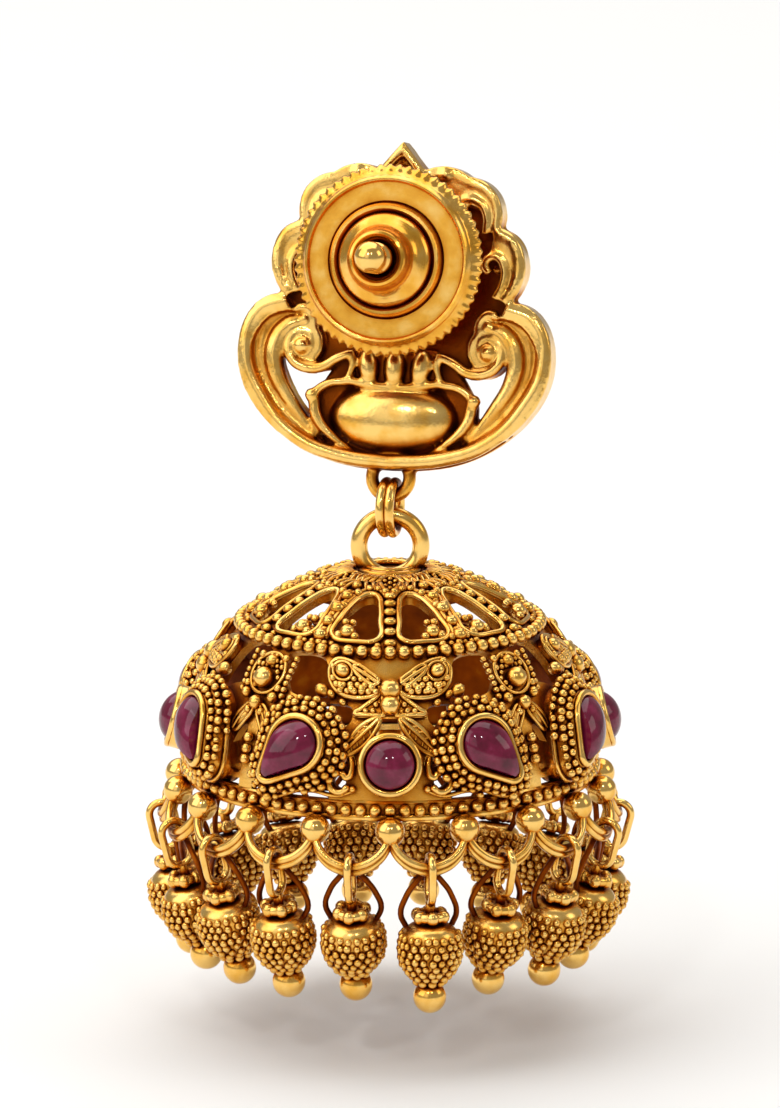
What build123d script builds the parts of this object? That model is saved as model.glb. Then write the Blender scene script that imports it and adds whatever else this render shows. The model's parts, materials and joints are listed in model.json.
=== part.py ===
from build123d import *
import os
from math import cos, radians, sin

# Jhumka earring. The crown is modelled flat in the stud's own frame (x across, y up, z out of its
# hollow back, centred on the post). The bell is modelled round its own axis with z = 0 at its rim,
# and its angles count from its front ruby. All sizes are millimetres and all angles degrees.

# --- stance
LEAN = 12.0  # the worn stud tips forward, so the post's free end points up
BELL_TURN = 13.0  # the bell has turned about the vertical in its link

# --- crown casting, heights on it measured from its lowest edge
POST_HEIGHT = 13.3
CROWN_THICK = 1.9
CROWN_RECESS = 1.2  # depth of the hollow back
HOLLOW_SCALE, HOLLOW_RISE = 0.925, -0.3  # the hollow is the outline drawn smaller, inside a ridge
RIB_RISE = 0.2  # handle rib's centre above the hollow's floor
VOLUTE = (6.2, 7.9, 1.5)  # scroll at the handle's upper end: x, height, radius
VOLUTE_DROP = 0.3  # scroll's face below the crown's back plane
NECK = (6.5, 5.2, 2.2, 1.0)  # height, width, length and thickness of the pot's neck
BELLY = (3.6, (3.6, 1.8, 1.2))  # height and half sizes of the pot's belly at the back
FRONT_POT = (3.7, (4.6, 2.6, 1.5))
ROSETTE = (5.6, 5.6, 1.6)  # half sizes of the domed front

# --- post and screw nut, lengths measured from the crown's back plane
BOSS_R, BOSS_TOP = 2.0, 0.0  # solder boss that the post stands on
SHANK_R, SHANK_END = 1.16, 2.0  # plain stretch next to the crown, a shoulder above the thread
THREAD_R = 1.0
POST_END = 8.9
NECK_R, NECK_START, NECK_END = 0.8, 7.1, 7.6
CHAMFER = 0.1
NUT_FACE, NUT_BORE_R, NUT_R = 2.3, 1.05, 6.1
NUT_TEETH, TOOTH_R = 56, 0.2

# --- loop, link and ring: centreline radius, wire radius
LOOP = (1.225, 0.425)
LINK = (1.61, 0.39)
RING = (1.955, 0.575)
LOOP_DROP = 0.42  # loop's centre below the crown's edge
LOOP_DEPTH = -1.0  # loop's centre in the crown's thickness
HANG_GAP = 0.1
RING_ABOVE_RIM = 14.6

# --- bell wall: radius and height of its outer corners, and of the middles of its inner arcs
WALL = 0.75
CAP_TOP = 13.1
CAP_MID, CAP_MID_IN = (4.9, 12.2), (4.7, 11.4)
CAP_EDGE, CAP_EDGE_IN = (9.3, 9.7), (8.5, 9.3)
BAND_MID, BAND_MID_IN = (11.95, 5.4), (11.2, 5.1)
BAND_FOOT = (13.0, 0.1)
CAP_BEAD = (9.55, 9.75, 0.4)  # centreline radius, height, bead radius
RIM_BEAD = (13.1, 0.3, 0.45)
FLANGE = (12.3, 13.2, -0.35, 0.05)  # inner radius, outer radius, bottom, top
CAP_HOLES, CAP_HOLE_R, CAP_HOLE_SIZE = 12, 6.7, (1.75, 1.3)
WINDOW_SPREAD, WINDOW_Z, WINDOW_SIZE, WINDOW_CORNER = 30.0, 7.4, (3.0, 3.0), 0.6
WINDOW_INNER_R = 6.0  # windows are cut from this radius outwards
MOTIFS = 8
MOTIF_BALLS = ((10.6, 7.8, 0.7), (11.15, 6.9, 0.62))  # radius, height, ball radius

# --- stones and their settings
ROUNDS = 4
ROUND_R, ROUND_BEZEL_R, ROUND_DEEP = 1.55, 2.03, 1.9
ROUND_FACE_R, ROUND_Z = 13.9, 3.5
PEAR_R, PEAR_TIP, PEAR_TIP_R = 1.5, 2.6, 0.3
PEAR_FACE_R, PEAR_Z, PEAR_SPREAD, PEAR_LEAN = 14.1, 4.6, 25.3, 41.0
PEAR_BEZEL, PEAR_SHOULDER, PEAR_STEP, PEAR_DEEP = 0.4, 1.1, 0.5, 2.9
SETTING_TILT = 14.0  # settings look up a little, square to the flared wall
SEAT_DEPTH = 0.8
STONE_GAP = 0.03
ROUND_DOME, PEAR_DOME = (1.75, 1.75, 1.5), (1.75, 2.5, 1.5)  # half sizes of the domes
DOME_SUNK = 0.6  # centre of each dome below the bezel's edge

# --- festoon and drops
HANGERS = 18
HANGER = (13.75, -0.85, 0.95)  # radius of the circle of hanger balls, height, ball radius
ARC_WIRE_R = 0.45
ARC_LOW = (14.65, -3.1)  # radius and height of each arc's lowest wire centre
PLUMB_LEAN, DROP_LEAN, LEAN_SWAY, LEAN_STEP = 2.0, 14.5, 1.5, 130.0
DROP_LOOP = (0.8, 1.4, 0.25)  # bend radius, straight length, wire radius
LOOP_RISE = 0.05  # loop's upper bend centre above the arc's wire
SHAFT_R, BEAD_BORE_R = 0.32, 0.42
COLLAR = (3.0, 0.8, 0.32)  # distance down the pin, centreline radius, wire radius
BEAD_TOP, BEAD_FOOT = (0.85, -3.45), (0.95, -7.2)  # radius and height of its two ends
BEAD_SHOULDER, BEAD_WIDEST, BEAD_HIP = (1.85, -4.15), (2.2, -5.3), (1.9, -6.45)
BALL_DOWN, BALL_R = 8.3, 1.05

stud_plane = Plane(
    origin=(0, 0, 0),
    x_dir=(-1, 0, 0),
    z_dir=(0, cos(radians(LEAN)), sin(radians(LEAN))),
)

# where the hanging pieces come, in the row's frame
loop_bottom = stud_plane.from_local_coords(
    Vector(0, -POST_HEIGHT - LOOP_DROP - LOOP[0], LOOP_DEPTH)
)
link_centre = loop_bottom + Vector(0, 0, LOOP[1] + LINK[1] + HANG_GAP - LINK[0])
link_bottom = link_centre - Vector(0, 0, LINK[0])
ring_centre = link_bottom + Vector(0, 0, LINK[1] + RING[1] + HANG_GAP - RING[0])
rim_centre = ring_centre - Vector(0, 0, RING_ABOVE_RIM)


def ellipsoid(half_sizes):
    return scale(Sphere(1), by=half_sizes)


def wire_along(path, section):
    """Wire of this section bent along a path."""
    return sweep(Plane(origin=path @ 0, z_dir=path % 0) * section, path=path)


def small_ring(ring_r, wire_r):
    """Thin ring turned with eight flats, near enough round at its size."""
    section = Plane.XZ * Pos(ring_r, 0) * RegularPolygon(wire_r, 8, rotation=22.5)
    return revolve(section, axis=Axis.Z)


def small_ball(radius):
    """Ball turned with six flats, near enough round at its size."""
    flats = [(radius * cos(radians(a)), radius * sin(radians(a))) for a in range(-60, 61, 30)]
    section = make_face(Polyline((0, -radius), *flats, (0, radius), close=True))
    return revolve(Plane.XZ * section, axis=Axis.Z)


def up_to(depth, face):
    """Prism on a face of the setting frame, from this depth up to its plane."""
    return Pos(0, 0, -depth) * extrude(face, depth)


# --- stud: crown, post and loop
def crown_outline():
    half = [
        Spline((0, 0), (6.5, 1.55), (10.25, 7.5), (7.0, 11.0), tangents=((1, 0), (-1, -0.15))),
        ThreePointArc((7.0, 11.0), (8.3, 13.4), (6.4, 15.6)),
        ThreePointArc((6.4, 15.6), (6.2, 17.9), (4.4, 18.9)),
        ThreePointArc((4.4, 18.9), (3.0, 19.5), (1.5, 19.2)),
        Line((1.5, 19.2), (0, 21.0)),
    ]
    return make_face(half + [mirror(edge, about=Plane.YZ) for edge in half])


def handle_void():
    """Opening between the pot and the +x handle."""
    return make_face(
        [
            ThreePointArc((7.34, 7.94), (6.9, 6.8), (5.3, 6.03)),
            ThreePointArc((5.3, 6.03), (4.6, 6.5), (3.92, 6.81)),
            ThreePointArc((3.92, 6.81), (4.9, 5.3), (5.4, 4.4)),
            ThreePointArc((5.4, 4.4), (5.4, 3.6), (5.16, 2.83)),
            ThreePointArc((5.16, 2.83), (6.8, 4.9), (7.57, 6.94)),
            Line((7.57, 6.94), (7.34, 7.94)),
        ]
    )


def handle_relief():
    """Broad inner rib and scroll of the +x handle, raised from the hollow's floor."""
    rib = wire_along(Spline((6.9, 9.2), (8.2, 7.3), (7.5, 5.0), (5.0, 2.0)), Circle(0.6))
    x, height, radius = VOLUTE
    scroll = Pos(x, height) * up_to(CROWN_THICK - VOLUTE_DROP, Circle(radius))
    return Pos(0, 0, RIB_RISE - CROWN_RECESS) * rib + Pos(0, 0, -VOLUTE_DROP) * scroll


def casting():
    """Crown drawn from its lowest edge, with a hollow back and a domed front."""
    outline = crown_outline()
    hollow = Pos(0, POST_HEIGHT + HOLLOW_RISE) * scale(Pos(0, -POST_HEIGHT) * outline, by=HOLLOW_SCALE)
    plate = up_to(CROWN_THICK, outline) - up_to(CROWN_RECESS, hollow)
    relief = handle_relief()
    neck_height, neck_width, neck_length, neck_thick = NECK
    neck = Pos(0, neck_height, neck_thick / 2 - CROWN_RECESS) * Box(neck_width, neck_length, neck_thick)
    belly = Pos(0, BELLY[0], -CROWN_RECESS) * ellipsoid(BELLY[1])
    front_pot = Pos(0, FRONT_POT[0], -CROWN_THICK) * ellipsoid(FRONT_POT[1])
    rosette = Pos(0, POST_HEIGHT, -CROWN_THICK) * ellipsoid(ROSETTE)
    rosette -= Pos(0, POST_HEIGHT, CROWN_THICK / 2) * Cylinder(2 * ROSETTE[0], CROWN_THICK * 2)
    void = Pos(0, 0, CROWN_THICK) * up_to(4 * CROWN_THICK, handle_void())
    whole = plate + relief + mirror(relief, about=Plane.YZ) + neck + belly + front_pot + rosette
    return whole - void - mirror(void, about=Plane.YZ)


def ear_post():
    """Solder boss, plain shank, threaded stretch (drawn at its crests), neck and ball end."""
    boss_base = -CROWN_RECESS - CHAMFER
    section = Polyline(
        (0, boss_base),
        (BOSS_R, boss_base),
        (BOSS_R, BOSS_TOP),
        (SHANK_R, BOSS_TOP),
        (SHANK_R, SHANK_END),
        (THREAD_R, SHANK_END + CHAMFER),
        (THREAD_R, NECK_START),
        (NECK_R, NECK_START + CHAMFER),
        (NECK_R, NECK_END),
        (0, NECK_END),
        close=True,
    )
    post = revolve(Plane.XZ * make_face(section), axis=Axis.Z)
    return post + Pos(0, 0, POST_END - THREAD_R) * Sphere(THREAD_R)


def stud_crown():
    loop = Pos(0, -LOOP_DROP, LOOP_DEPTH) * Torus(*LOOP)
    cast = Pos(0, -POST_HEIGHT) * (casting() + loop)
    return stud_plane.location * (cast + ear_post())


def screw_nut():
    """Turned round the post: milled flange, raised disc, ring step and a bell-shaped boss."""
    section = [
        Polyline(
            (NUT_BORE_R, NUT_FACE),
            (NUT_R, NUT_FACE),
            (NUT_R, 2.8),
            (5.1, 3.2),
            (5.0, 3.5),
            (4.85, 3.6),
            (3.55, 3.5),
            (3.45, 3.9),
            (2.95, 3.95),
            (2.8, 4.15),
        ),
        ThreePointArc((2.8, 4.15), (2.0, 4.75), (1.8, 5.9)),
        ThreePointArc((1.8, 5.9), (1.65, 6.15), (1.45, 6.1)),
        Polyline((1.45, 6.1), (NUT_BORE_R, 5.6), (NUT_BORE_R, NUT_FACE)),
    ]
    nut = revolve(Plane.XZ * make_face(section), axis=Axis.Z)
    around = PolarLocations(NUT_R + TOOTH_R / 2, NUT_TEETH)
    nicks = [place * Pos(0, 0, NUT_FACE) * Cylinder(TOOTH_R, 3) for place in around]
    return stud_plane.location * (nut - nicks)


def connecting_link():
    return Pos(*link_centre) * Rot(0, 90, 0) * Torus(*LINK)


# --- bell
def on_bell(angle, radius=0.0, height=0.0):
    """Place on the bell at this angle from its front ruby, local x pointing outwards."""
    return Rot(0, 0, angle) * Pos(radius, 0, height)


bell_place = Pos(*rim_centre) * Rot(0, 0, 90 + BELL_TURN)


def around_bell(count, start=0.0):
    """Evenly spaced angles round the bell."""
    return [start + 360 / count * k for k in range(count)]


def setting_place(angle, face_r, height, turn=0.0):
    """Plane of a bezel's edge: local z looks out of the bell and local y up along its wall."""
    return on_bell(angle, face_r, height) * Rot(0, 90 - SETTING_TILT, 0) * Rot(0, 0, 90 + turn)


round_places = [setting_place(angle, ROUND_FACE_R, ROUND_Z) for angle in around_bell(ROUNDS)]
pear_places = [
    setting_place(angle + side * PEAR_SPREAD, PEAR_FACE_R, PEAR_Z, side * PEAR_LEAN)
    for angle in around_bell(ROUNDS)
    for side in (-1, 1)
]


def pear(grow=0.0):
    """Pear outline about the centre of its round end, tip downwards."""
    round_end = Circle(PEAR_R + grow)
    tip = Pos(0, -PEAR_TIP) * Circle(PEAR_TIP_R + grow)
    return make_hull(round_end.edges() + tip.edges())


def bell_hollow():
    """Space inside the bell."""
    foot_in = (BAND_FOOT[0] - WALL, BAND_FOOT[1])
    cap_top_in = (0, CAP_TOP - WALL)
    section = [
        ThreePointArc(foot_in, BAND_MID_IN, CAP_EDGE_IN),
        ThreePointArc(CAP_EDGE_IN, CAP_MID_IN, cap_top_in),
        Polyline(cap_top_in, (0, BAND_FOOT[1]), foot_in),
    ]
    return revolve(Plane.XZ * make_face(section), axis=Axis.Z)


def bell_wall():
    """Cap and flared band as one turned wall."""
    cap_top, foot = (0, CAP_TOP), BAND_FOOT
    section = [
        ThreePointArc(cap_top, CAP_MID, CAP_EDGE),
        ThreePointArc(CAP_EDGE, BAND_MID, foot),
        Polyline(foot, (0, foot[1]), cap_top),
    ]
    return revolve(Plane.XZ * make_face(section), axis=Axis.Z) - bell_hollow()


def cap_holes():
    """Ring of oval piercings, cut straight down through the cap."""
    hole = extrude(Ellipse(*CAP_HOLE_SIZE), CAP_TOP)
    half_step = 180 / CAP_HOLES
    return [on_bell(angle, CAP_HOLE_R, BAND_MID[1]) * hole for angle in around_bell(CAP_HOLES, half_step)]


def windows():
    """Openings of the band between its flower motifs."""
    opening = extrude(RectangleRounded(*WINDOW_SIZE, WINDOW_CORNER), CAP_TOP)
    return [
        on_bell(angle + side * WINDOW_SPREAD, WINDOW_INNER_R, WINDOW_Z) * Rot(0, 90, 0) * opening
        for angle in around_bell(ROUNDS)
        for side in (-1, 1)
    ]


def settings():
    """Bezels and mango bosses, solid down to the wall, and the seats to cut in them."""
    bezel = up_to(ROUND_DEEP, Circle(ROUND_BEZEL_R))
    shoulder = Pos(0, 0, -PEAR_STEP) * up_to(PEAR_DEEP - PEAR_STEP, pear(PEAR_SHOULDER))
    boss = shoulder + up_to(PEAR_DEEP, pear(PEAR_BEZEL))
    solids = [place * bezel for place in round_places] + [place * boss for place in pear_places]
    above = Pos(0, 0, SEAT_DEPTH)
    round_seat = above * up_to(2 * SEAT_DEPTH, Circle(ROUND_R))
    pear_seat = above * up_to(2 * SEAT_DEPTH, pear())
    seats = [place * round_seat for place in round_places]
    seats += [place * pear_seat for place in pear_places]
    return solids, seats


def festoon():
    """Hanger balls under the rim and the wire arc between each two."""
    circle_r, height, ball_r = HANGER
    half_step = radians(180 / HANGERS)
    across, out = circle_r * sin(half_step), circle_r * cos(half_step)
    path = ThreePointArc((out, -across, height), (ARC_LOW[0], 0, ARC_LOW[1]), (out, across, height))
    arc = wire_along(path, RegularPolygon(ARC_WIRE_R, 8))
    balls = [on_bell(angle, circle_r, height) * small_ball(ball_r) for angle in around_bell(HANGERS)]
    arcs = [on_bell(angle) * arc for angle in around_bell(HANGERS, 180 / HANGERS)]
    return balls + arcs


def bell():
    """Everything soldered to the bell, as one piece."""
    inner, outer, low, high = FLANGE
    flange = Pos(0, 0, low) * extrude(Circle(outer) - Circle(inner), high - low)
    beads = [Pos(0, 0, height) * small_ring(radius, bead_r) for radius, height, bead_r in (CAP_BEAD, RIM_BEAD)]
    ring = Pos(0, 0, RING_ABOVE_RIM) * Rot(0, 90, 0) * Torus(*RING)
    balls = [
        on_bell(angle, radius, height) * Sphere(ball_r)
        for angle in around_bell(MOTIFS)
        for radius, height, ball_r in MOTIF_BALLS
    ]
    solids, seats = settings()
    shell = bell_wall() - cap_holes() - windows()
    shell = shell + solids + balls - bell_hollow() - seats
    return bell_place * (shell + beads + flange + ring + festoon())


# --- stones
def cabochon(face, dome, centre=0.0):
    """Stone that fills its seat to the gap, domed above the bezel."""
    seated = Pos(0, 0, STONE_GAP - SEAT_DEPTH) * extrude(face, 2 * SEAT_DEPTH + 1)
    return seated & (Pos(0, centre, -DOME_SUNK) * ellipsoid(dome))


# --- drops
def drop_place(k):
    """Place of drop k: origin on its arc's wire, z up along the leaning pin, x outwards."""
    lean = PLUMB_LEAN if k == 0 else DROP_LEAN + LEAN_SWAY * sin(radians(LEAN_STEP * k))
    return bell_place * on_bell(360 / HANGERS * (k + 0.5), *ARC_LOW) * Rot(0, lean, 0)


def drop_pin():
    """Oblong loop, collar, shaft and end ball of one drop."""
    bend_r, straight, wire_r = DROP_LOOP
    top, bottom = LOOP_RISE, LOOP_RISE - straight
    path = Wire(
        [
            ThreePointArc((-bend_r, 0, top), (0, 0, top + bend_r), (bend_r, 0, top)),
            Line((bend_r, 0, top), (bend_r, 0, bottom)),
            ThreePointArc((bend_r, 0, bottom), (0, 0, bottom - bend_r), (-bend_r, 0, bottom)),
            Line((-bend_r, 0, bottom), (-bend_r, 0, top)),
        ]
    )
    collar_down, collar_r, collar_wire_r = COLLAR
    collar = Pos(0, 0, -collar_down) * (Torus(collar_r, collar_wire_r) + Cylinder(collar_r, collar_wire_r))
    shaft = Pos(0, 0, -BALL_DOWN) * extrude(Circle(SHAFT_R), BALL_DOWN + bottom - bend_r)
    return wire_along(path, Circle(wire_r)) + shaft + collar + Pos(0, 0, -BALL_DOWN) * Sphere(BALL_R)


def drop_bead():
    """Acorn-shaped bead: round shoulder, widest above its middle, tapering to the end ball."""
    section = [
        ThreePointArc(BEAD_TOP, BEAD_SHOULDER, BEAD_WIDEST),
        ThreePointArc(BEAD_WIDEST, BEAD_HIP, BEAD_FOOT),
        Polyline(BEAD_FOOT, (BEAD_BORE_R, BEAD_FOOT[1]), (BEAD_BORE_R, BEAD_TOP[1]), BEAD_TOP),
    ]
    return revolve(Plane.XZ * make_face(section), axis=Axis.Z)


parts = {
    "stud_crown": stud_crown(),
    "screw_nut": screw_nut(),
    "connecting_link": connecting_link(),
    "bell": bell(),
}
round_ruby = cabochon(Circle(ROUND_R - STONE_GAP), ROUND_DOME)
pear_ruby = cabochon(pear(-STONE_GAP), PEAR_DOME, (PEAR_R - PEAR_TIP - PEAR_TIP_R) / 2)
for k, place in enumerate(round_places):
    parts[f"ruby_round_{k + 1}"] = bell_place * place * round_ruby
for k, place in enumerate(pear_places):
    parts[f"ruby_pear_{k + 1}"] = bell_place * place * pear_ruby
for k in range(HANGERS):
    parts[f"drop_pin_{k + 1:02}"] = drop_place(k) * drop_pin()
    parts[f"drop_bead_{k + 1:02}"] = drop_place(k) * drop_bead()

os.makedirs("parts", exist_ok=True)
for name, solid in parts.items():
    export_step(solid, f"parts/{name}.step")
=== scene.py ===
import json
from math import atan2, cos, degrees, pi, radians, sin, sqrt
from random import Random

import bmesh
import bpy
from mathutils import Matrix, Vector


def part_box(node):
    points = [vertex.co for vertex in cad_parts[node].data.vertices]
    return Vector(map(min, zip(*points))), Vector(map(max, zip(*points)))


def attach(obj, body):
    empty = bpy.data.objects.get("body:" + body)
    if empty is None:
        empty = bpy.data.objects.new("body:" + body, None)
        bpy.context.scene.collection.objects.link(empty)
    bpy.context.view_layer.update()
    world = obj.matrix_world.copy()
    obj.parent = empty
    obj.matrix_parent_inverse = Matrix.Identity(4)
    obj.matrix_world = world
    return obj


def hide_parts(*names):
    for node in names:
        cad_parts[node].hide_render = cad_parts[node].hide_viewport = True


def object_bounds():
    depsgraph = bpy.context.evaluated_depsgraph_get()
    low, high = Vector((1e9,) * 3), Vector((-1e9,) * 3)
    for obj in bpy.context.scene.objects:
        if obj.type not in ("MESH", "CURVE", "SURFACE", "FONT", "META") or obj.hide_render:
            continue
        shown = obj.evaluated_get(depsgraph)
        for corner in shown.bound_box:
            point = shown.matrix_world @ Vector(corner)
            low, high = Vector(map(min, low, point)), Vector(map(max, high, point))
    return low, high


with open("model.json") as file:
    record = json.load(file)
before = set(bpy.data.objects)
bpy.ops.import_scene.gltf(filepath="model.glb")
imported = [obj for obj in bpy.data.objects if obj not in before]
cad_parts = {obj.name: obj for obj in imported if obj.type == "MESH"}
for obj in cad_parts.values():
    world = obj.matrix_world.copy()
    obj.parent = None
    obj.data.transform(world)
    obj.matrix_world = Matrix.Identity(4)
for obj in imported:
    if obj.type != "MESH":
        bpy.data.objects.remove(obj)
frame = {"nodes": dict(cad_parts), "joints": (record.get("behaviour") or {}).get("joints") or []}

cad_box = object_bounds()

# ---------------------------------------------------------------- stud crown
# Lost-wax cast brass, gilded and antiqued: a pot with two curled handles under a scalloped
# shield, with a raised edge round its hollow back. Ridges, ribs and petals are part of the
# casting, so they are drawn over the plain casting and then melted into one skin.
MM = 0.001
LEAN = 12
POST_HEIGHT = 13.3  # the post's centre above the crown's lowest edge
WAX_GRAIN = 0.13  # finest detail of the casting, as its skin is remade
SIDES = (1, -1)

# x and height of the runs that the back and the front share, on the +x half
HANDLE_EDGE = ((0, 0.5), (3.35, 0.84), (6.3, 1.98), (8.6, 4.4), (9.74, 7.3), (9.0, 9.8), (7.1, 10.6))
SIDE_LOBE = ((6.95, 11.0), (7.65, 12.1), (7.85, 13.4), (7.4, 14.8), (6.3, 15.45))
UPPER_LOBE = ((6.2, 15.6), (6.25, 16.8), (5.6, 18.0), (4.4, 18.5))
TOP_LOBE = ((4.3, 18.5), (3.1, 19.0), (1.7, 18.8))
BACK_EDGE, FRONT_EDGE = -0.3, -1.75  # depths of the raised edge


def laid(points, lift):
    """A flat run of x and y, laid at one height or depth."""
    return [(x, y, lift) for x, y in points]


# x, height and depth of each ridge's run on the +x half, then its half width
BACK_RIDGES = (
    (laid(HANDLE_EDGE, BACK_EDGE), 0.5), (laid(SIDE_LOBE, BACK_EDGE), 0.44),
    (laid(UPPER_LOBE, BACK_EDGE), 0.4), (laid(TOP_LOBE, BACK_EDGE), 0.36),
    (((1.55, 18.75, -0.1), (1.15, 19.15, -0.02), (0.6, 19.85, -0.02), (0, 20.5, -0.1)), 0.27),
    (((0.5, 18.8, -0.75), (0.62, 19.2, -0.6), (0, 19.75, -0.5)), 0.16),
    (laid(((7.0, 9.9), (8.15, 9.35), (8.8, 7.6), (8.4, 5.5), (7.2, 3.7), (5.6, 2.1)), -0.95),
     0.6),  # floor of the handle's groove
    (((-3.0, 5.65, -0.6), (0, 5.3, -0.5), (3.0, 5.65, -0.6)), 0.3),  # neck ring
    (((3.0, 5.62, -0.6), (4.3, 5.4, -0.5), (5.3, 4.7, -0.45)), 0.3),  # shoulder of the pot
    (((6.4, 11.2, -0.2), (6.85, 12.1, -0.12), (6.9, 13.2, -0.12), (6.3, 13.9, -0.12),
      (5.65, 13.4, -0.12), (6.0, 12.8, -0.12)), 0.3),  # curl in the side lobe
    (((5.6, 15.3, -0.2), (5.6, 16.5, -0.12), (5.0, 17.35, -0.12), (4.1, 17.3, -0.12),
      (4.2, 16.6, -0.15)), 0.3),  # curl in the upper lobe
    (((5.3, 8.7, -0.7), (5.35, 9.5, -0.6), (5.95, 10.2, -0.45), (6.6, 10.1, -0.4)), 0.32),  # over the scroll
)
# ribs that taper: x, height, depth and half width at each point
BACK_RIBS = (
    ((5.9, 9.35, -0.75, 0.5), (7.05, 9.0, -0.65, 0.64), (7.85, 7.7, -0.6, 0.68),
     (7.75, 6.1, -0.6, 0.62), (6.75, 4.3, -0.65, 0.5), (5.5, 2.7, -0.75, 0.34),
     (4.5, 1.75, -0.9, 0.14)),
    ((3.05, 7.35, -0.5, 0.3), (3.85, 6.98, -0.45, 0.34), (4.75, 6.42, -0.4, 0.36),
     (5.75, 6.35, -0.35, 0.38), (6.65, 6.85, -0.35, 0.38), (6.95, 7.8, -0.4, 0.36),
     (6.45, 8.6, -0.45, 0.32), (5.6, 8.45, -0.5, 0.28), (5.5, 7.7, -0.45, 0.24)),
    ((5.2, 4.5, -0.5, 0.4), (4.95, 3.3, -0.5, 0.38), (3.85, 2.0, -0.55, 0.3),
     (2.35, 1.12, -0.75, 0.1)),
    ((2.95, 7.6, -0.6, 0.3), (2.75, 6.7, -0.6, 0.28), (3.0, 5.9, -0.6, 0.24)),
)
# balls and petals: x, height, depth, half sizes, turn
BACK_BUDS = (
    (6.1, 7.75, -0.35, (0.56, 0.56, 0.5), 0),
    (5.3, 4.62, -0.4, (0.46, 0.46, 0.42), 0),
    (1.72, 6.6, -0.68, (0.66, 1.25, 0.68), -8),
    (6.45, 13.1, -0.7, (0.36, 0.36, 0.36), 0),
    (2.85, 18.95, -0.2, (0.52, 0.46, 0.42), 0),
    (6.0, 9.45, -0.5, (0.34, 0.34, 0.36), 0),
    (5.0, 17.2, -0.8, (0.3, 0.3, 0.3), 0),
    (5.75, 16.3, -0.85, (0.22, 0.22, 0.24), 0),
    (0.0, 19.3, -1.0, (0.24, 0.24, 0.28), 0),
    (8.25, 9.2, -1.1, (0.2, 0.2, 0.22), 0),
)
FRONT_RIDGES = (
    (laid(HANDLE_EDGE, FRONT_EDGE), 0.42), (laid(SIDE_LOBE, FRONT_EDGE), 0.4),
    (laid(UPPER_LOBE, FRONT_EDGE), 0.38),
    (((4.3, 18.5, -1.75), (3.1, 19.0, -1.75), (1.5, 18.9, -1.75), (0, 20.5, -1.7)), 0.36),
    (((3.1, 7.35, -2.0), (4.75, 6.5, -2.1), (6.4, 6.6, -2.1), (7.0, 7.8, -2.1),
      (6.2, 8.6, -2.1), (5.5, 7.9, -2.1)), 0.34),
    (((-3.1, 5.6, -2.6), (0, 5.3, -3.0), (3.1, 5.6, -2.6)), 0.24),
    (((6.9, 9.2, -2.0), (7.9, 7.6, -2.1), (7.3, 5.2, -2.1), (5.0, 2.2, -1.9)), 0.42),
)


def alone(piece):
    """Selects one piece and nothing else."""
    bpy.ops.object.select_all(action="DESELECT")
    piece.select_set(True)
    bpy.context.view_layer.objects.active = piece
    return piece


def named(name, piece=None):
    """Names a piece and its mesh."""
    piece = piece or bpy.context.object
    piece.name = piece.data.name = name
    return piece


def seat(piece, place):
    """Puts the piece's place in its mesh, and leaves its object at the origin."""
    bpy.context.view_layer.update()
    piece.data.transform(place @ piece.matrix_world)
    piece.matrix_world = Matrix.Identity(4)
    return piece


def gather(name, pieces):
    """Joins pieces into one mesh."""
    alone(pieces[0])
    for piece in pieces:
        piece.select_set(True)
    if len(pieces) > 1:
        bpy.ops.object.join()
    return named(name)


def linked(name, data):
    """A new object of this data, alone selected."""
    piece = bpy.data.objects.new(name, data)
    bpy.context.collection.objects.link(piece)
    return alone(piece)


def modified(piece, name, kind, **settings):
    """Applies one modifier with these settings."""
    modifier = alone(piece).modifiers.new(name, kind)
    for setting, value in settings.items():
        setattr(modifier, setting, value)
    bpy.ops.object.modifier_apply(modifier=name)
    return piece


def mesh_edited(piece, *steps):
    """Runs steps of mesh editing, each on the whole mesh."""
    alone(piece)
    bpy.ops.object.mode_set(mode="EDIT")
    for step, settings in steps:
        bpy.ops.mesh.select_all(action="SELECT")
        step(**settings)
    bpy.ops.object.mode_set(mode="OBJECT")
    return piece


OUTWARDS = (bpy.ops.mesh.normals_make_consistent, {"inside": False})


def spun(turn, axis="Z"):
    """A turn by this many degrees."""
    return Matrix.Rotation(radians(turn), 4, axis)


def wire(points, radius, ring=False, sides=2, steps=5):
    """Round wire bent through these points; a fourth number is the half width there."""
    line = bpy.data.curves.new("wire", "CURVE")
    line.dimensions = "3D"
    line.bevel_depth, line.bevel_resolution, line.resolution_u = radius, sides, steps
    line.use_fill_caps = not ring
    run = line.splines.new("BEZIER")
    run.bezier_points.add(len(points) - 1)
    run.use_cyclic_u = ring
    for knot, point in zip(run.bezier_points, points):
        knot.co = point[:3]
        knot.handle_left_type = knot.handle_right_type = "AUTO"
        knot.radius = point[3] / radius if len(point) > 3 else 1
    linked("wire", line)
    bpy.ops.object.convert(target="MESH")
    bpy.ops.object.shade_smooth()
    return bpy.context.object


def bud(place, half_sizes, turn=0, around=14, rows=9):
    """Rounded bump: a ball drawn out to these half sizes."""
    bpy.ops.mesh.primitive_uv_sphere_add(segments=around, ring_count=rows, radius=1)
    bpy.ops.object.shade_smooth()
    spread = Matrix.Diagonal((*half_sizes, 1))
    return seat(bpy.context.object, Matrix.Translation(place) @ spun(turn) @ spread)


def ball(place, radius, around=14, rows=9):
    """Round ball of metal."""
    return bud(place, (radius,) * 3, 0, around, rows)


def sided(points, side):
    """The same points on the +x side, or mirrored on the -x side."""
    return [(side * x, *rest) for x, *rest in points]


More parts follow.
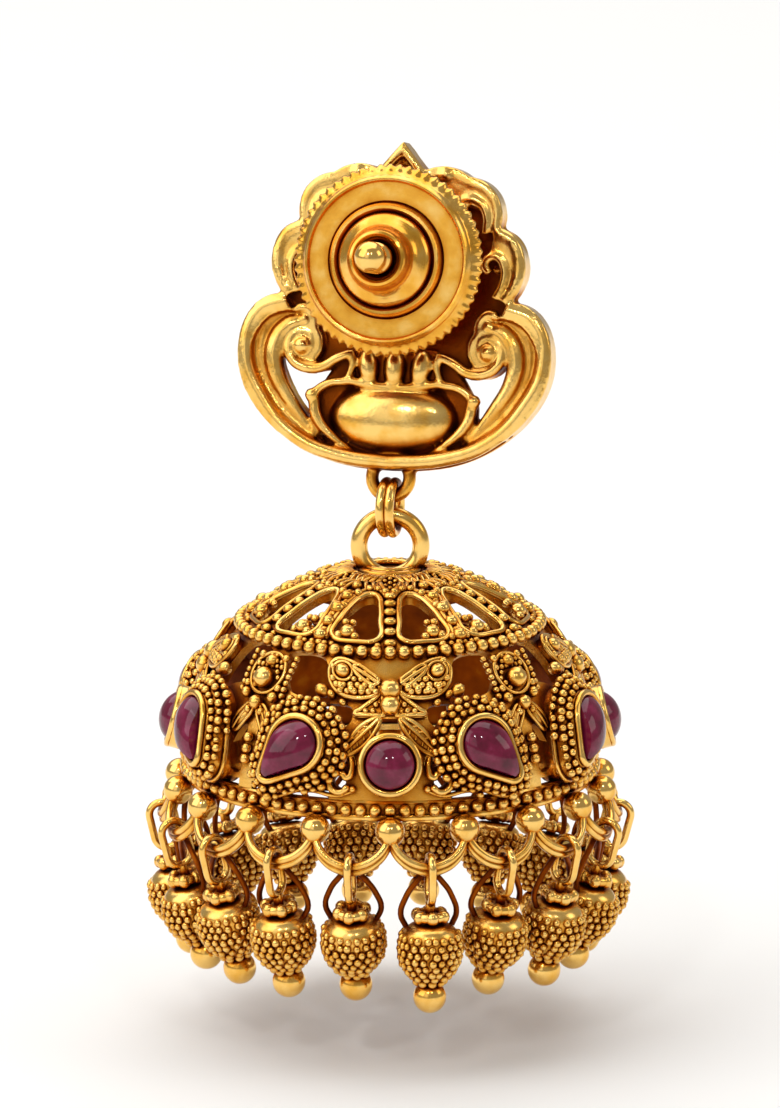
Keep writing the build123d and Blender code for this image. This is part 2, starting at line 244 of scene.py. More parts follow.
def turned(profile, steps=64):
    """Turned on the lathe: the profile of radius and height spun once round the z axis."""
    mesh = bpy.data.meshes.new("turned")
    edges = [(i, i + 1) for i in range(len(profile) - 1)]
    mesh.from_pydata([(r, 0, z) for r, z in profile], edges, [])
    once_round = {"steps": steps, "angle": 2 * pi, "center": (0, 0, 0), "axis": (0, 0, 1)}
    piece = mesh_edited(linked("turned", mesh), (bpy.ops.mesh.spin, once_round),
                        (bpy.ops.mesh.remove_doubles, {"threshold": 1e-4}), OUTWARDS)
    bpy.ops.object.shade_smooth_by_angle(angle=radians(40))
    return piece


def prism(outline, low, high):
    """Upright prism over an outline of x and y."""
    mesh = bpy.data.meshes.new("prism")
    mesh.from_pydata(laid(outline, low), [], [tuple(range(len(outline)))])
    rise = {"TRANSFORM_OT_translate": {"value": (0, 0, high - low)}}
    return mesh_edited(linked("prism", mesh), (bpy.ops.mesh.extrude_region_move, rise), OUTWARDS)


lean = radians(LEAN)
stud_frame = Matrix((
    (-MM, 0, 0, 0),
    (0, -MM * sin(lean), MM * cos(lean), 0),
    (0, MM * cos(lean), MM * sin(lean), 0),
    (0, 0, 0, 1),
))
crown_frame = stud_frame @ Matrix.Translation((0, -POST_HEIGHT, 0))

# the plain casting, without its post
casting = frame["nodes"]["stud_crown"].copy()
casting.data = casting.data.copy()
casting.parent = None
bpy.context.collection.objects.link(casting)
casting.data.materials.clear()
seat(casting, crown_frame.inverted())
back_plane = {"plane_co": (0, 0, 0.02), "plane_no": (0, 0, 1), "clear_outer": True, "use_fill": True}
mesh_edited(casting, (bpy.ops.mesh.remove_doubles, {"threshold": 1e-3}),
            (bpy.ops.mesh.bisect, back_plane))

# the pot's neck and belly and the leaf tip are sunk, so that their relief stands clear
NECK_FLOOR, BELLY_FLOOR, TIP_FLOOR = -0.9, -1.0, -0.8
NECK_SUNK = ((-2.75, 5.3), (2.75, 5.3), (2.75, 7.7), (-2.75, 7.7))
BELLY_SUNK = ((-4.2, 3.6), (-3.2, 2.0), (0, 1.45), (3.2, 2.0), (4.2, 3.6), (3.3, 5.25), (-3.3, 5.25))
TIP_SUNK = ((-1.1, 18.7), (1.1, 18.7), (0.55, 19.5), (0, 20.05), (-0.55, 19.5))
for sunk, floor in ((NECK_SUNK, NECK_FLOOR), (BELLY_SUNK, BELLY_FLOOR), (TIP_SUNK, TIP_FLOOR)):
    scoop = prism(sunk, floor, 0.4)
    modified(casting, "sunk", "BOOLEAN", object=scoop, operation="DIFFERENCE", solver="EXACT")
    bpy.data.objects.remove(scoop)

relief = [casting]
for points, half_width in BACK_RIDGES + FRONT_RIDGES:
    relief.append(wire(points, half_width))
    if points[0][0] >= 0:
        relief.append(wire(sided(points, -1), half_width))
for points in BACK_RIBS:
    relief += [wire(points, 0.5), wire(sided(points, -1), 0.5)]
for x, height, depth, half_sizes, turn in BACK_BUDS:
    relief += [bud((x, height, depth), half_sizes, turn), bud((-x, height, depth), half_sizes, -turn)]
MIDDLE_PETAL, BELLY = ((0, 6.55, -0.68), (0.7, 1.3, 0.74)), ((0, 3.35, -1.3), (4.15, 2.3, 1.55))
relief.append(bud(*MIDDLE_PETAL))
relief.append(bud(*BELLY, around=36, rows=22))
# rosette on the domed front: distance from the middle, depth and half sizes of petals and seeds
PETALS, PETAL, SEED = 16, (4.75, -2.55, (0.72, 1.1, 0.5)), (3.1, -3.15, (0.42, 0.42, 0.36))
for k in range(PETALS):
    turn = 2 * pi * k / PETALS
    for (reach, depth, half_sizes), facing in ((PETAL, -degrees(turn)), (SEED, 0)):
        spot = (reach * sin(turn), POST_HEIGHT + reach * cos(turn), depth)
        relief.append(bud(spot, half_sizes, facing))
relief.append(bud((0, POST_HEIGHT, -3.4), (1.5, 1.5, 0.8), around=24, rows=12))
crown = gather("crown_casting", relief)
modified(crown, "one skin", "REMESH", mode="VOXEL", voxel_size=WAX_GRAIN, use_smooth_shade=True)
modified(crown, "cast softness", "SMOOTH", factor=0.5, iterations=3)

# This attribute says how far the casting's colour is browned: none at the first and last of
# these depths, full between the others, and only where it faces the open back. The browning is
# antiquing lacquer pooled in the recesses, and painted shade there as well.
SHADE_AND_LACQUER_DEPTHS = (-1.45, -1.25, -1.0, -0.55)
FACING_GAIN, FACING_LOSS = 1.6, 0.2
recess_shade_and_lacquer = crown.data.attributes.new("recess_shade_and_lacquer", "FLOAT", "POINT")
below, full, still, none = SHADE_AND_LACQUER_DEPTHS
for spot, vertex in zip(recess_shade_and_lacquer.data, crown.data.vertices):
    depth = vertex.co.z
    deep = max(0, min(1, (depth - below) / (full - below), (none - depth) / (none - still)))
    spot.value = deep * max(0, min(1, FACING_GAIN * vertex.normal.z - FACING_LOSS))
seat(crown, crown_frame)

# the post: soldered boss, plain shank, rolled thread and a ball end
SHANK_R, SHANK_END, BALL_R, POST_END = 1.16, 2.0, 1.0, 8.9
THREAD_CREST, THREAD_ROOT, THREAD_PITCH = 1.0, 0.88, 0.4
THREAD_START, THREAD_TURNS, NECK = 2.15, 12, (0.8, 7.0)
thread = [
    (THREAD_CREST if k % 2 == 0 else THREAD_ROOT, THREAD_START + THREAD_PITCH / 2 * k)
    for k in range(2 * THREAD_TURNS)
]
ball_end = [
    (BALL_R * cos(radians(a)), POST_END - BALL_R + BALL_R * sin(radians(a))) for a in range(-40, 81, 10)
]
boss = [(0, -1.4), (2.0, -1.4), (2.0, -0.15), (1.85, 0.0), (SHANK_R, 0.05), (SHANK_R, SHANK_END)]
post = turned(boss + thread + [NECK] + ball_end + [(0, POST_END)], 40)
named("ear_post", seat(post, stud_frame))

# the finish of the castings
def colour(code):
    """sRGB hex to the linear colour that the shader takes."""
    parts = [int(code[i : i + 2], 16) / 255 for i in (1, 3, 5)]
    return (*(c / 12.92 if c <= 0.04045 else ((c + 0.055) / 1.055) ** 2.4 for c in parts), 1)


def add(tree, kind, sockets=None, **settings):
    """Adds a node. Sockets takes each input's value, or the output that feeds it."""
    made = tree.nodes.new(kind)
    for name, value in settings.items():
        setattr(made, name, value)
    for name, value in (sockets or {}).items():
        if isinstance(value, bpy.types.NodeSocket):
            tree.links.new(value, made.inputs[name])
        else:
            made.inputs[name].default_value = value
    return made


def finish_named(name):
    """An empty finish: its node tree and its shader."""
    material = bpy.data.materials.new(name)
    material.use_nodes = True
    return material, material.node_tree, material.node_tree.nodes["Principled BSDF"]


# Gilded brass: a warm 22 carat skin, brown antiquing lacquer left in every recess and rubbed off the
# highs, so the eye gets a bright yellow edge over a red-brown ground. The brown follows ambient
# occlusion, so it is painted shade in the recesses as well as lacquer.
GILT_TONES = (
    (0.0, "#551F06"), (0.3, "#974608"), (0.58, "#D2851F"), (0.82, "#EDAF42"), (1.0, "#F9CC74"),
)
CLOUD_SIZE, MARK_SIZE = 1.4, 0.22  # of the uneven wear and of the tumbling marks


def toned(tree, tone, tones):
    """A ramp of these positions and colours, read at the tone."""
    ramp = add(tree, "ShaderNodeValToRGB", {"Fac": tone})
    steps = ramp.color_ramp.elements
    while len(steps) < len(tones):
        steps.new(0.5)
    for step, (at, code) in zip(steps, tones):
        step.position, step.color = at, colour(code)
    return ramp.outputs["Color"]


def gilt(name, polish, dull, reach, tumble, shade_and_lacquer_span=(0.3, 0.95)):
    """Antiqued gilding, browned as lacquer and painted shade where ambient occlusion finds a recess.
    Reach is how far that painted shade reaches, and tumble the depth of the tumbling marks, in millimetres."""
    material, tree, shader = finish_named(name)
    place = add(tree, "ShaderNodeTexCoord").outputs["Object"]
    # ambient occlusion browns the recesses: painted shade, as well as antiquing lacquer
    recess = add(tree, "ShaderNodeAmbientOcclusion", {"Distance": reach * MM}, samples=6)
    cloud = add(tree, "ShaderNodeTexNoise", {
        "Vector": place, "Scale": 1 / (CLOUD_SIZE * MM), "Detail": 3})
    occluded_shade_and_lacquer = add(tree, "ShaderNodeMapRange", {
        "Value": recess.outputs["AO"], "From Min": shade_and_lacquer_span[0], "From Max": shade_and_lacquer_span[1]})
    uneven = add(tree, "ShaderNodeMapRange", {
        "Value": cloud.outputs["Fac"], "From Min": 0.3, "From Max": 0.7, "To Min": -0.16, "To Max": 0.1})
    tone = add(tree, "ShaderNodeMath", {0: occluded_shade_and_lacquer.outputs[0], 1: uneven.outputs[0]},
               operation="ADD", use_clamp=True).outputs[0]
    tree.links.new(toned(tree, tone, GILT_TONES), shader.inputs["Base Color"])
    gloss = add(tree, "ShaderNodeMapRange", {"Value": tone, "To Min": dull, "To Max": polish})
    tree.links.new(gloss.outputs[0], shader.inputs["Roughness"])
    marks = add(tree, "ShaderNodeTexNoise", {
        "Vector": place, "Scale": 1 / (MARK_SIZE * MM), "Detail": 2})
    relief = add(tree, "ShaderNodeBump", {
        "Height": marks.outputs["Fac"], "Strength": 1.0, "Distance": tumble * MM})
    tree.links.new(relief.outputs[0], shader.inputs["Normal"])
    shader.inputs["Metallic"].default_value = 1
    return material


def coated(piece, material):
    """Gives a piece this material and no other."""
    piece.data.materials.clear()
    piece.data.materials.append(material)
    return piece


def settle(piece, material, body):
    """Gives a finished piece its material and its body."""
    coated(piece, material)
    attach(piece, body)
    return piece


def brown_by_shade_and_lacquer(material, kept):
    """Browns the gilding by the mesh's own attribute, down to the tone kept where it is full; the
    browning is antiquing lacquer and painted shade in the recesses.
    """
    tree = material.node_tree
    ramp = next(node for node in tree.nodes if node.bl_idname == "ShaderNodeValToRGB")
    tone = ramp.inputs["Fac"].links[0].from_socket
    spots = add(tree, "ShaderNodeAttribute", attribute_name="recess_shade_and_lacquer")
    left = add(tree, "ShaderNodeMapRange", {
        "Value": spots.outputs["Fac"], "To Min": 1, "To Max": kept})
    browned = add(tree, "ShaderNodeMath", {0: tone, 1: left.outputs[0]}, operation="MULTIPLY")
    tree.links.new(browned.outputs[0], ramp.inputs["Fac"])
    return material


# recesses are browned by occlusion, and the casting's also by depth: lacquer and painted shade
cast_gilt = brown_by_shade_and_lacquer(
    gilt("cast brass, gilded, antiqued and painted with shade", 0.2, 0.5, 1.3, 0.012, (0.35, 1.0)), kept=0.3)
flower_gilt = gilt("stamped flowers, gilded, antiqued and painted with shade", 0.2, 0.5, 1.0, 0.01)
wire_gilt = gilt("drawn brass wire, gilded and polished", 0.16, 0.42, 0.8, 0.004)
settle(crown, cast_gilt, "stud")
settle(post, wire_gilt, "stud")
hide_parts("stud_crown")

# ---------------------------------------------------------------- screw nut
# A gilded brass nut turned on the lathe and milled round its edge. It screws down the post and
# clamps the ear against the crown; its face keeps the faint rings of the turning tool.
TURNING_PITCH = 0.14


def turned_gilt():
    """Bright turned gilding, browned as lacquer and painted shade only where one step meets the next."""
    material = gilt("turned brass nut, gilded bright", 0.17, 0.36, 0.55, 0.006, (0.2, 1.12))
    tree = material.node_tree
    shader = tree.nodes["Principled BSDF"]
    place = add(tree, "ShaderNodeTexCoord").outputs["Object"]
    upright = add(tree, "ShaderNodeMapping", {"Vector": place, "Rotation": (radians(90 - LEAN), 0, 0)})
    wave_step = 2 * pi / 20  # a wave texture's own distance between rings
    rings = add(tree, "ShaderNodeTexWave", {
        "Vector": upright.outputs[0], "Scale": wave_step / (TURNING_PITCH * MM), "Distortion": 0.6,
    }, wave_type="RINGS", rings_direction="Z")
    lines = add(tree, "ShaderNodeBump", {
        "Height": rings.outputs["Fac"], "Strength": 0.35, "Distance": 0.003 * MM,
        "Normal": shader.inputs["Normal"].links[0].from_socket,
    })
    tree.links.new(lines.outputs[0], shader.inputs["Normal"])
    return material


# radius and height of the nut's turned profile: milled skirt, bead, flat, ring step, trumpet boss
NUT_PROFILE = (
    (1.05, 2.36), (5.85, 2.36), (6.02, 2.42), (6.06, 2.6), (5.96, 2.8), (5.7, 2.95), (5.48, 3.05),
    (5.4, 3.2), (5.32, 3.4), (5.2, 3.52), (5.08, 3.5), (5.0, 3.38), (4.96, 3.32), (3.78, 3.36),
    (3.7, 3.28), (3.64, 3.42), (3.58, 3.66), (3.44, 3.84), (3.26, 3.86), (3.12, 3.72), (3.06, 3.62),
    (2.98, 3.8), (2.9, 4.02), (2.7, 4.2), (2.36, 4.4), (2.1, 4.72), (1.96, 5.15), (1.88, 5.6),
    (1.84, 5.9), (1.74, 6.08), (1.58, 6.14), (1.42, 6.06), (1.2, 5.78), (1.05, 5.55), (1.05, 2.36),
)
MILLED_TEETH, TOOTH_DEPTH = 60, 0.08
MILLED_FROM, MILLED_ABOVE, MILLED_FADE = 5.6, 2.38, 0.3  # radius, height, width of the run-out
nut = turned(NUT_PROFILE, MILLED_TEETH * 6)
for vertex in nut.data.vertices:
    x, y, z = vertex.co
    reach = sqrt(x * x + y * y)
    if reach > MILLED_FROM and z > MILLED_ABOVE:
        fade = min(1, (reach - MILLED_FROM) / MILLED_FADE)
        wave = sin(MILLED_TEETH * atan2(y, x)) * TOOTH_DEPTH * fade
        vertex.co = (x * (1 + wave / reach), y * (1 + wave / reach), z + 0.35 * wave)
turned_nut = seat(named("turned_nut", nut), stud_frame)
settle(turned_nut, turned_gilt(), "nut")
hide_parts("screw_nut")

# ---------------------------------------------------------------- connecting link
# Two turns of gilded wire soldered side by side, closed through the crown's loop and the bell's
# ring. It swings in the loop, and the bell swings in it.
LINK_R, TURN_R, TURN_APART = 1.61, 0.33, 0.54


def torus(radius, wire_radius, around, across, height, turn=0):
    """A closed ring of round wire."""
    bpy.ops.mesh.primitive_torus_add(
        major_radius=radius, minor_radius=wire_radius, major_segments=around, minor_segments=across,
        location=(0, 0, height), rotation=(0, turn, 0))
    bpy.ops.object.shade_smooth()
    return bpy.context.object


low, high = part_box("connecting_link")
link_centre = (low + high) / 2
turns = []
for side in SIDES:
    turn = torus(LINK_R, TURN_R, 64, 18, side * TURN_APART / 2)
    turns.append(seat(turn, Matrix.Identity(4)))
doubled_link = gather("doubled_link", turns)
upright = Matrix.Rotation(pi / 2, 4, "Y")
seat(doubled_link, Matrix.Translation(link_centre) @ upright @ Matrix.Scale(MM, 4))
settle(doubled_link, wire_gilt, "link")
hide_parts("connecting_link")

# ---------------------------------------------------------------- bell shell
# The jhumka's dome and flared band, beaten from one brass sheet, pierced all round with a saw
# and gilded. Its ring, edges, flowers, settings and drops are all soldered to this shell.
RIM_BELOW_SWING = 15.49  # the bell's rim hangs this far below the link's lowest turn
BELL_TURN = 13  # the bell has turned about the vertical in its link
SHEET = 0.5
# radius and height of five points that the wall's two arcs run through
CAP_TOP, CAP_MID, CAP_EDGE = (0, 13.1), (4.9, 12.2), (9.3, 9.7)
BAND_MID, BAND_FOOT = (11.95, 5.4), (13.0, 0.1)
QUARTERS = (0, 90, 180, 270)

swing = next(joint for joint in frame["joints"] if joint["name"] == "bell_swing")
bell_frame = (
    Matrix.Translation(Vector(swing["pos_m"]) - Vector((0, 0, RIM_BELOW_SWING * MM)))
    @ spun(90 + BELL_TURN) @ Matrix.Scale(MM, 4)
)


def circle_through(first, second, third):
    """Centre and radius of the circle through three points of radius and height."""
    (ax, ay), (bx, by), (cx, cy) = first, second, third
    d = 2 * (ax * (by - cy) + bx * (cy - ay) + cx * (ay - by))
    a2, b2, c2 = ax * ax + ay * ay, bx * bx + by * by, cx * cx + cy * cy
    x = (a2 * (by - cy) + b2 * (cy - ay) + c2 * (ay - by)) / d
    y = (a2 * (cx - bx) + b2 * (ax - cx) + c2 * (bx - ax)) / d
    return x, y, sqrt((ax - x) ** 2 + (ay - y) ** 2)


cap_arc = circle_through(CAP_TOP, CAP_MID, CAP_EDGE)
band_arc = circle_through(CAP_EDGE, BAND_MID, BAND_FOOT)


def arc_run(arc, start, end, count, inwards=0.0):
    """Points along an arc of the wall, from one of its points to another."""
    x, y, radius = arc
    a, b = atan2(start[1] - y, start[0] - x), atan2(end[1] - y, end[0] - x)
    turns = [a + (b - a) * k / (count - 1) for k in range(count)]
    return [(max(0, x + (radius - inwards) * cos(t)), y + (radius - inwards) * sin(t)) for t in turns]


def band_angle(height):
    """The band's angle at this height."""
    return atan2(height - band_arc[1], sqrt(band_arc[2] ** 2 - (height - band_arc[1]) ** 2))


def cap_angle(radius):
    """The cap's angle at this radius."""
    return atan2(sqrt(cap_arc[2] ** 2 - (radius - cap_arc[0]) ** 2), radius - cap_arc[0])


def hug(piece, arc, turn, angle):
    """Bends a flat ornament, x across, y up and z out, onto the wall."""
    x0, y0, radius = arc
    for vertex in piece.data.vertices:
        x, y, lift = vertex.co
        a = angle + y / radius
        r = x0 + (radius + lift) * cos(a)
        t = radians(turn) + x / (x0 + radius * cos(a))
        vertex.co = (r * cos(t), r * sin(t), y0 + (radius + lift) * sin(a))
    piece.data.update()
    return piece


def rounded(points, per_side):
    """A smooth closed outline through these points."""
    count, run = len(points), []
    for k in range(count):
        p0, p1, p2, p3 = (points[(k + j) % count] for j in (-1, 0, 1, 2))
        for step in range(per_side):
            t = step / per_side
            run.append(tuple(
                0.5 * (2 * b + (c - a) * t + (2 * a - 5 * b + 4 * c - d) * t * t
                       + (3 * b - a - 3 * c + d) * t ** 3)
                for a, b, c, d in zip(p0, p1, p2, p3)
            ))
    return run


def straight(points, per_side):
    """A closed outline with points spaced along its straight sides."""
    return [
        (a[0] + (b[0] - a[0]) * t / per_side, a[1] + (b[1] - a[1]) * t / per_side)
        for a, b in zip(points, points[1:] + points[:1]) for t in range(per_side)
    ]


# piercings of the band, x across and y up from a point on the flower's line
PIERCED_BY_ROUND = (
    ((3.9, -0.6), (4.15, 2.75), (6.9, 2.75), (6.95, 0.6), (5.8, 0.0), (4.8, -0.6)),
    ((2.45, -0.35), (3.95, -0.25), (4.15, -0.95), (3.3, -1.75), (2.5, -1.3)),
    ((3.75, -2.9), (3.2, -3.1), (2.35, -3.35), (2.2, -4.1), (3.1, -4.1), (4.0, -3.6)),
    ((3.2, -4.68), (2.78, -5.1), (3.2, -5.52), (3.62, -5.1)),
)
PIERCED_MIDDLE = ((-0.62, -0.8), (0.62, -0.8), (0.85, -2.2), (-0.85, -2.2))
PIERCED_BETWEEN = ((0.45, -2.5), (1.05, -2.6), (1.7, -4.0), (1.55, -5.2), (0.5, -5.2))
PIERCED_FOOT = ((3.9, 0.95), (9.6, 0.95), (9.6, 1.45), (3.9, 1.45))  # up from the rim
FLOWER_HEIGHT = 6.9
SAW_INSIDE, SAW_OUTSIDE = -1.2, 1.0
# the cap's piercings: degrees round the bell, and radius
CAP_PIERCED = (
    (4.9, 8.6), (4.5, 7.3), (5.3, 6.0), (8.0, 5.05), (13.6, 4.7), (19.8, 5.0), (24.2, 6.0),
    (25.6, 7.2), (25.0, 8.5), (14.0, 8.8),
)
CAP_SECTORS = tuple(60 * k for k in range(6))


def on_flower_line(piece, turn):
    """Bends a flat piece on to the band, at the flowers' height."""
    return hug(piece, band_arc, turn, band_angle(FLOWER_HEIGHT))


def saw_through(outline):
    """A blade that cuts this outline out of the band."""
    return prism(outline, SAW_INSIDE, SAW_OUTSIDE)


section = (
    arc_run(cap_arc, CAP_TOP, CAP_EDGE, 16) + arc_run(band_arc, CAP_EDGE, BAND_FOOT, 16)[1:]
    + arc_run(band_arc, BAND_FOOT, CAP_EDGE, 14, SHEET) + arc_run(cap_arc, CAP_EDGE, CAP_TOP, 14, SHEET)[1:]
)
shell = turned(section, 144)
saws = []
for quarter in QUARTERS:
    for side in SIDES:
        for outline in PIERCED_BY_ROUND:
            run = rounded(sided(outline, side)[::side], 4)
            saws.append(on_flower_line(saw_through(run), quarter))
        run = rounded(sided(PIERCED_BETWEEN, side)[::side], 4)
        saws.append(on_flower_line(saw_through(run), quarter + 45))
        run = straight(sided(PIERCED_FOOT, side)[::side], 6)
        saws.append(hug(saw_through(run), band_arc, quarter, band_angle(0)))
    saws.append(on_flower_line(saw_through(rounded(PIERCED_MIDDLE, 3)[::-1]), quarter))
for sector in CAP_SECTORS:
    for side in SIDES:
        run = []
        for turn, radius in rounded(CAP_PIERCED, 3)[::side]:
            around = radians(sector + side * turn)
            run.append((radius * cos(around), radius * sin(around)))
        saws.append(prism(run, 9.0, 14.0))  # upright, from under the cap's edge to over its top
saw = mesh_edited(gather("saw", saws), OUTWARDS)
modified(shell, "saw piercing", "BOOLEAN", object=saw, operation="DIFFERENCE", solver="EXACT",
         use_self=True)
bpy.data.objects.remove(saw)
bpy.ops.object.shade_smooth_by_angle(angle=radians(35))
sheet_gilt = gilt("beaten brass sheet, gilded, antiqued and painted with shade", 0.24, 0.5, 1.6, 0.012)
# nothing rubs the lacquer off the inside, so it stays brown; the brown is painted shade there too
shade_brown_gilt = gilt("gilded brass under brown lacquer and painted shade", 0.3, 0.5, 1.2, 0.006, (0.72, 1.75))


def paint_shade_inside(piece):
    """Gives the brown finish, lacquer and painted shade, to whatever faces or stands inside the bell."""
    piece.data.materials.append(shade_brown_gilt)
    for face in piece.data.polygons:
        x, y, z = face.center
        r0, z0, radius = cap_arc if z > CAP_EDGE[1] else band_arc
        under = radius - sqrt((sqrt(x * x + y * y) - r0) ** 2 + (z - z0) ** 2)
        if under > 0.8 * SHEET:
            face.material_index = 1
    return piece


settle(named("bell_shell", shell), sheet_gilt, "bell")
seat(paint_shade_inside(shell), bell_frame)
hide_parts("bell")

# ---------------------------------------------------------------- edges and hanging ring
# Beaded wire runs round the foot of the dome and round the rim, over plain strips; the wide
# ring on top is a heavy gilded wire soldered into the dome.
RING = (1.98, 0.55, 14.6)  # centreline radius, wire radius, height
CAP_BEADS = (9.6, 9.75, 0.42, 68)  # radius, height, bead radius, count
RIM_BEADS = (13.1, 0.34, 0.4, 88)


def granule(around=8, rows=5):
    """One tiny melted grain, to be copied many times."""
    return named("granule", ball((0, 0, 0), 1, around, rows))


def strew(name, model, places):
    """A copy of the model at each place, joined as one mesh; the model itself goes."""
    heap = bmesh.new()
    for place in places:
        one = model.data.copy()
        one.transform(place)
        heap.from_mesh(one)
        bpy.data.meshes.remove(one)
    mesh = bpy.data.meshes.new(name)
    heap.to_mesh(mesh)
    heap.free()
    bpy.data.objects.remove(model)
    return linked(name, mesh)


def grain_at(x, y, z, size):
    """Where a grain goes, and its size."""
    return Matrix.Translation((x, y, z)) @ Matrix.Scale(size, 4)


def round_bell(turn, radius, height):
    """A point at this many degrees round an axis."""
    return radius * cos(radians(turn)), radius * sin(radians(turn)), height


def on_bell(name, pieces, material):
    """Joins pieces into one that hangs with the bell."""
    return settle(seat(gather(name, pieces), bell_frame), material, "bell")


# browned by occlusion between the grains: lacquer and painted shade
grain_gilt = gilt("granulation, gilded, antiqued and painted with shade", 0.22, 0.48, 0.55, 0.0)
edges = []
for radius, height, size, count in (CAP_BEADS, RIM_BEADS):
    beads = [grain_at(*round_bell(360 / count * k, radius, height), size) for k in range(count)]
    edges.append(strew("beaded_edge", granule(12, 8), beads))
# radius and height of the flat strips: under the cap's beads, and under and over the rim's
STRIPS = (
    ((9.0, 9.55), (9.45, 9.55), (9.5, 9.42), (9.45, 9.3), (9.0, 9.3), (9.0, 9.55)),
    ((12.3, 0.05), (13.1, 0.05), (13.16, -0.03), (13.16, -0.25), (13.1, -0.33), (12.3, -0.33),
     (12.3, 0.05)),
    ((12.75, 0.98), (12.98, 0.95), (13.06, 0.84), (13.02, 0.74), (12.75, 0.72), (12.75, 0.98)),
)
strips = [turned(strip, 144) for strip in STRIPS]
torus(RING[0], RING[1], 72, 24, RING[2], pi / 2)
hanging_ring = seat(named("hanging_ring"), bell_frame)
settle(hanging_ring, wire_gilt, "bell")
on_bell("beaded_edges", edges, grain_gilt)
on_bell("edge_strips", strips, wire_gilt)

# ---------------------------------------------------------------- granulation of the dome
# Grains and wires of gilded brass melted on to the dome: a beaded rib between each pair of
# openings, broad knobbed ribs on both sides of the pair, and feathered leaves round the ring.
GRAIN, GRAIN_PITCH = 0.25, 0.48
shaker = Random(7)


def on_arc(arc, turn, angle, lift=0.0):
    """A point on the wall, at this turn round the bell and angle up the arc."""
    r, z = arc[0] + (arc[2] + lift) * cos(angle), arc[1] + (arc[2] + lift) * sin(angle)
    return r * cos(radians(turn)), r * sin(radians(turn)), z


def inside(outline, x, y):
    """Whether a point is inside a closed outline."""
    within = False
    for (x1, y1), (x2, y2) in zip(outline, outline[1:] + outline[:1]):
        if (y1 > y) != (y2 > y) and x < x1 + (y - y1) * (x2 - x1) / (y2 - y1):
            within = not within
    return within


def on_cap(turn, radius, lift):
    """A point on the dome, at this turn round the bell and radius."""
    return on_arc(cap_arc, turn, cap_angle(radius), lift)


GRAINS_FROM, GRAINS_TO = 4.8, 9.3  # radii
GRAIN_ROW = GRAIN_PITCH * 0.88
OPENING_EDGE, RIB_EDGE = 0.3, 0.62  # kept clear of grains
RADIAN = 57.3  # in degrees
NEAR_EDGE = ((0, 0), (OPENING_EDGE, 0), (-OPENING_EDGE, 0), (0, OPENING_EDGE), (0, -OPENING_EDGE))
cap_opening = rounded(CAP_PIERCED, 3)
grains, radius = [], GRAINS_FROM
while radius < GRAINS_TO:
    count = int(2 * pi * radius / GRAIN_PITCH)
    for k in range(count):
        turn = 360 * (k + 0.5 * shaker.random()) / count
        folded = abs((turn + 30) % 60 - 30)
        hidden = any(
            inside(cap_opening, folded + dt / radius * RADIAN, radius + dr) for dt, dr in NEAR_EDGE
        )
        if not hidden and folded * radius / RADIAN > RIB_EDGE:
            size = GRAIN * (0.85 + 0.5 * shaker.random())
            grains.append(grain_at(*on_cap(turn, radius, 0.1), size))
    radius += GRAIN_ROW
dome_grains = strew("dome_grains", granule(8, 5), grains)

# feathered leaves fan out from the ring: two tiers of fine ribs that lean opposite ways
FEATHER_TIERS = ((2.35, 3.4, 7, 0.0), (3.3, 4.4, -7, 3.75))  # inner and outer radius, lean, start
FEATHER_STEP, FEATHER_GAP = 7.5, 5
cap_work = []
for inner, outer, slant, start in FEATHER_TIERS:
    for k in range(round(360 / FEATHER_STEP)):
        turn = start + FEATHER_STEP * k
        folded = (turn + 30) % 60 - 30
        tilt = slant if folded > 0 else -slant
        if abs(folded) > FEATHER_GAP:
            rib = [
                on_cap(turn + tilt * (r - inner) / (outer - inner), r, 0.17 + lift)
                for r, lift in ((inner, 0), ((inner + outer) / 2, 0.1), (outer, 0))
            ]
            cap_work.append(wire(rib, 0.17, sides=1, steps=2))

# on the cap: degrees from the sector's middle and radius, then the ball's radius
BROW = ((3.2, 5.0), (6.2, 4.55), (13.2, 4.2), (21.0, 4.5), (26.2, 5.6), (28.2, 7.2), (27.6, 8.7))
IN_OPENING = ((15.2, 8.45, 0.3), (21.4, 7.5, 0.3), (22.2, 8.45, 0.34), (18.0, 7.45, 0.24))
ON_BROW = ((27.4, 6.2, 0.3), (23.6, 4.9, 0.3), (3.4, 4.6, 0.27), (9.6, 4.32, 0.24), (17.0, 4.32, 0.26))
